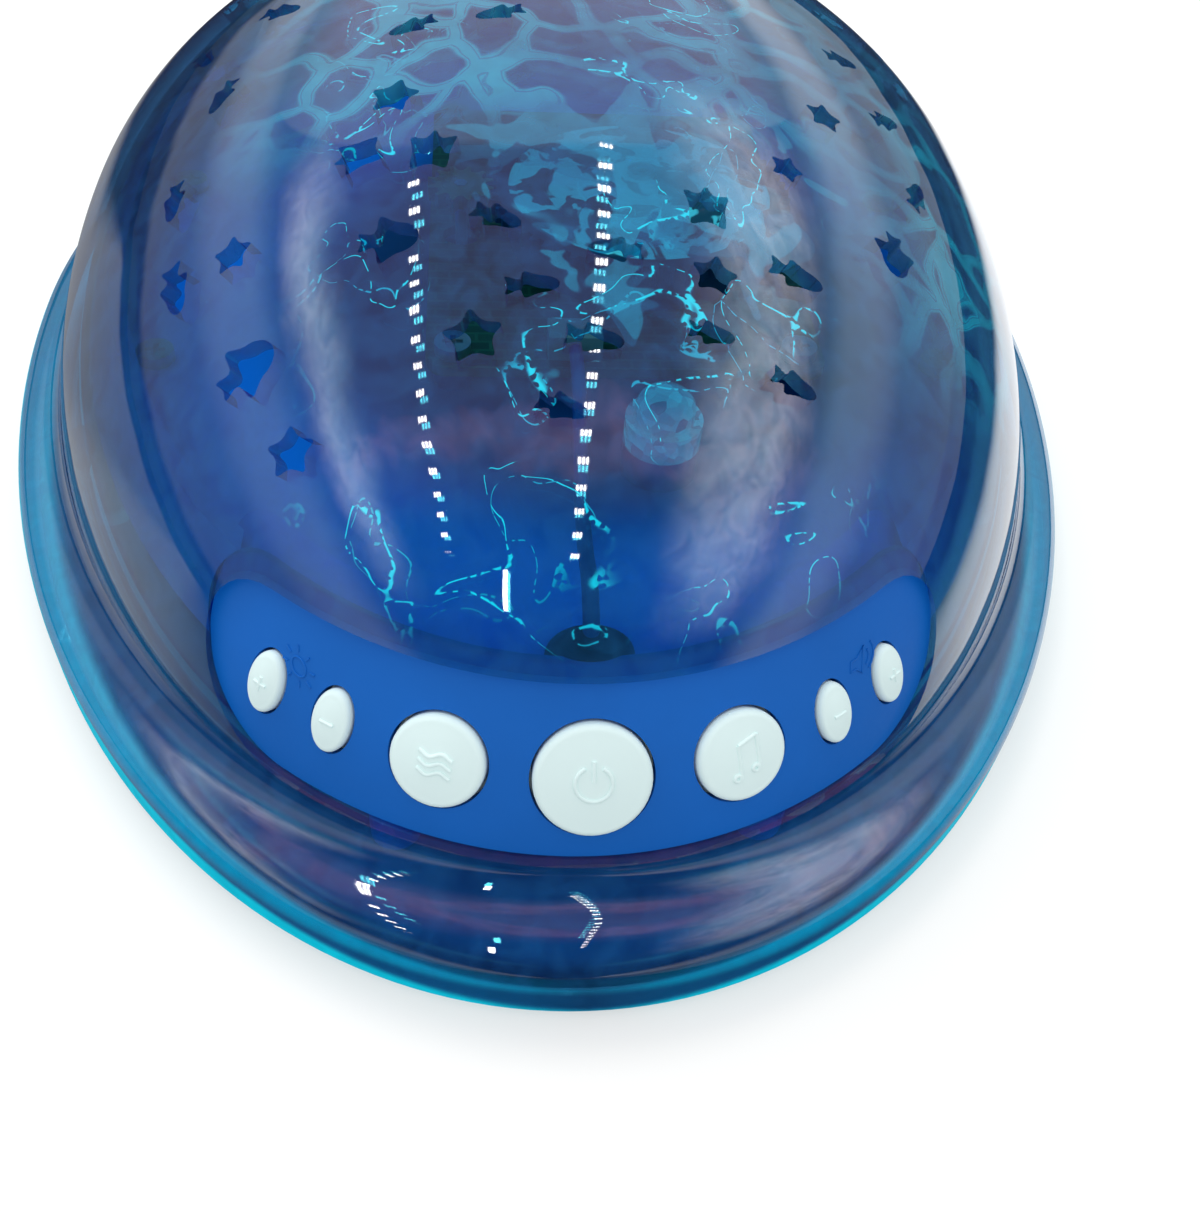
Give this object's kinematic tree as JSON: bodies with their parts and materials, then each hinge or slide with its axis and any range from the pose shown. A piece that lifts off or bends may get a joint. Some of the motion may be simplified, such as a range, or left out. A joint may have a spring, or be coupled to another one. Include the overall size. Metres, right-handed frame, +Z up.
{
  "type": "night light projector",
  "caption": "Whale-shaped night light projector: a clear blue dome with cut-out sea shapes, a curved front panel with soft white keys, a spread rim and a tail.",
  "frame": {"origin": "on the surface that the feet stand on, under the middle of the part's bounding box, which is also under the body's widest section", "axes": "+Z up, -Y to the front with the control panel, +Y to the tail, +X to the right as seen from the front"},
  "size_m": [0.176, 0.2646, 0.0694],
  "materials": {
    "clear_blue": "clear tinted plastic, glossy",
    "panel_blue": "opaque mid blue, satin gloss",
    "key_white": "off-white, soft satin",
    "housing_blue": "opaque mid blue",
    "black_plastic": "black",
    "white_plastic": "white",
    "clear_plastic": "clear, glossy",
    "lamp_resin": "clear resin",
    "board_green": "dark green laminate, satin",
    "rubber": "dark, matt",
    "steel": "zinc-plated",
    "motor_steel": "plain",
    "brass": "turned",
    "contact_metal": "nickel-plated strip",
    "cell_sleeve": "plain printed-colour sleeve, no markings",
    "paper": "black paper cone",
    "cable_jacket": "black jacket"
  },
  "bodies": {
    "housing": {"dome_shell": "clear_blue", "control_panel": "panel_blue", "key_board": "board_green", "panel_frame": "housing_blue", "cable_grommet": "rubber", "base_plate": "housing_blue", "rubber_feet": "rubber", "shell_screws": "steel", "frame_screws": "steel", "batteries": "cell_sleeve", "battery_contacts": "contact_metal", "inner_tray": "housing_blue", "tray_screws": "steel", "light_board": "board_green", "light_board_screws": "steel", "wave_lamps": "lamp_resin", "star_lamp": "white_plastic", "lens_holder": "white_plastic", "star_lens": "clear_plastic", "light_cup": "white_plastic", "disc_pin": "steel", "pin_clip": "steel", "wave_motor": "motor_steel", "motor_screws": "steel", "speaker_basket": "steel", "speaker_cone": "paper", "speaker_magnet": "motor_steel", "speaker_screws": "steel", "main_board": "board_green", "main_board_screws": "steel", "board_chips": "black_plastic", "board_capacitors": "motor_steel", "board_sockets": "white_plastic", "cable_plug": "white_plastic", "key_cable": "cable_jacket", "tail": "housing_blue", "tail_washer": "steel", "tail_screw": "steel"},
    "power_key": {"power_button": "key_white"},
    "wave_key": {"wave_button": "key_white"},
    "music_key": {"music_button": "key_white"},
    "brighter_key": {"brighter_button": "key_white"},
    "dimmer_key": {"dimmer_button": "key_white"},
    "quieter_key": {"quieter_button": "key_white"},
    "louder_key": {"louder_button": "key_white"},
    "disc": {"wave_disc": "clear_plastic", "disc_gear": "white_plastic"},
    "pinion": {"drive_pinion": "brass", "motor_shaft": "steel"},
    "door": {"battery_door": "housing_blue", "door_screw": "steel"}
  },
  "joints": [
    {"name": "power_press", "type": "slide", "parent": "housing", "child": "power_key", "axis": [0, 0.8521, -0.5234], "range_m": [0, 0.0008], "stiffness_N_per_m": 1900},
    {"name": "wave_press", "type": "slide", "parent": "housing", "child": "wave_key", "axis": [0.2886, 0.8098, -0.5108], "range_m": [0, 0.0008], "stiffness_N_per_m": 1600},
    {"name": "music_press", "type": "slide", "parent": "housing", "child": "music_key", "axis": [-0.2886, 0.8098, -0.5108], "range_m": [0, 0.0008], "stiffness_N_per_m": 1600},
    {"name": "brighter_press", "type": "slide", "parent": "housing", "child": "brighter_key", "axis": [0.5732, 0.6699, -0.4719], "range_m": [0, 0.0008], "stiffness_N_per_m": 1600},
    {"name": "dimmer_press", "type": "slide", "parent": "housing", "child": "dimmer_key", "axis": [0.4684, 0.7354, -0.4896], "range_m": [0, 0.0008], "stiffness_N_per_m": 1600},
    {"name": "quieter_press", "type": "slide", "parent": "housing", "child": "quieter_key", "axis": [-0.4684, 0.7354, -0.4896], "range_m": [0, 0.0008], "stiffness_N_per_m": 1600},
    {"name": "louder_press", "type": "slide", "parent": "housing", "child": "louder_key", "axis": [-0.5732, 0.6699, -0.4719], "range_m": [0, 0.0008], "stiffness_N_per_m": 1600},
    {"name": "disc_spin", "type": "hinge", "parent": "housing", "child": "disc", "pos_m": [0.014, -0.01, 0.0359], "axis": [0, 0, 1], "continuous": true},
    {"name": "pinion_spin", "type": "hinge", "parent": "housing", "child": "pinion", "pos_m": [-0.0148, -0.01, 0.0359], "axis": [0, 0, 1], "continuous": true},
    {"name": "door_hinge", "type": "hinge", "parent": "housing", "child": "door", "pos_m": [0, 0.018, 0.0029], "axis": [-1, 0, 0], "range_deg": [0, 75]}
  ],
  "couplings": [
    {"joint": "pinion_spin", "follows": "disc_spin", "ratio": -5}
  ]
}
